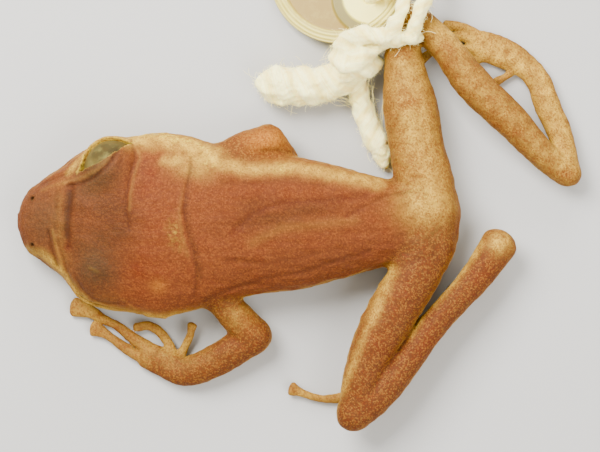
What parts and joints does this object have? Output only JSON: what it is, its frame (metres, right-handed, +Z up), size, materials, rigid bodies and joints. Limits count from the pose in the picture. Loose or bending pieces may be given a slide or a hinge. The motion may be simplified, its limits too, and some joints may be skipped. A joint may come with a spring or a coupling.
{
  "type": "preserved robber frog",
  "caption": "Small preserved robber frog on its belly, hind legs folded and one hand drawn up beside the jaw, with a cotton tie and a blank round tag at the right knee.",
  "frame": {"origin": "on the surface it lies on, under the middle of the model's bounding box", "axes": "+X from the snout to the rump, +Y towards the frog's right side, +Z up from the surface through the back"},
  "size_m": [0.0188, 0.0178, 0.0026],
  "materials": {
    "skin": "satin",
    "eye": "gloss",
    "cotton": "matte",
    "card": "satin"
  },
  "bodies": {
    "root": {"head": "skin", "trunk": "skin", "eye_right": "eye", "eye_left": "eye", "upper_arm_left": "skin", "forearm_left": "skin", "hand_left": "skin", "upper_arm_right": "skin", "forearm_right": "skin", "hand_right": "skin", "thigh_left": "skin", "shank_left": "skin", "tarsus_left": "skin", "foot_left": "skin", "thigh_right": "skin", "shank_right": "skin", "tarsus_right": "skin", "foot_right": "skin", "cord_wrap_over": "cotton", "cord_wrap_under": "cotton", "cord_knot": "cotton", "cord_end_long": "cotton", "cord_end_short": "cotton", "cord_loop_over": "cotton", "cord_loop_under": "cotton", "tag": "card"}
  },
  "joints": []
}
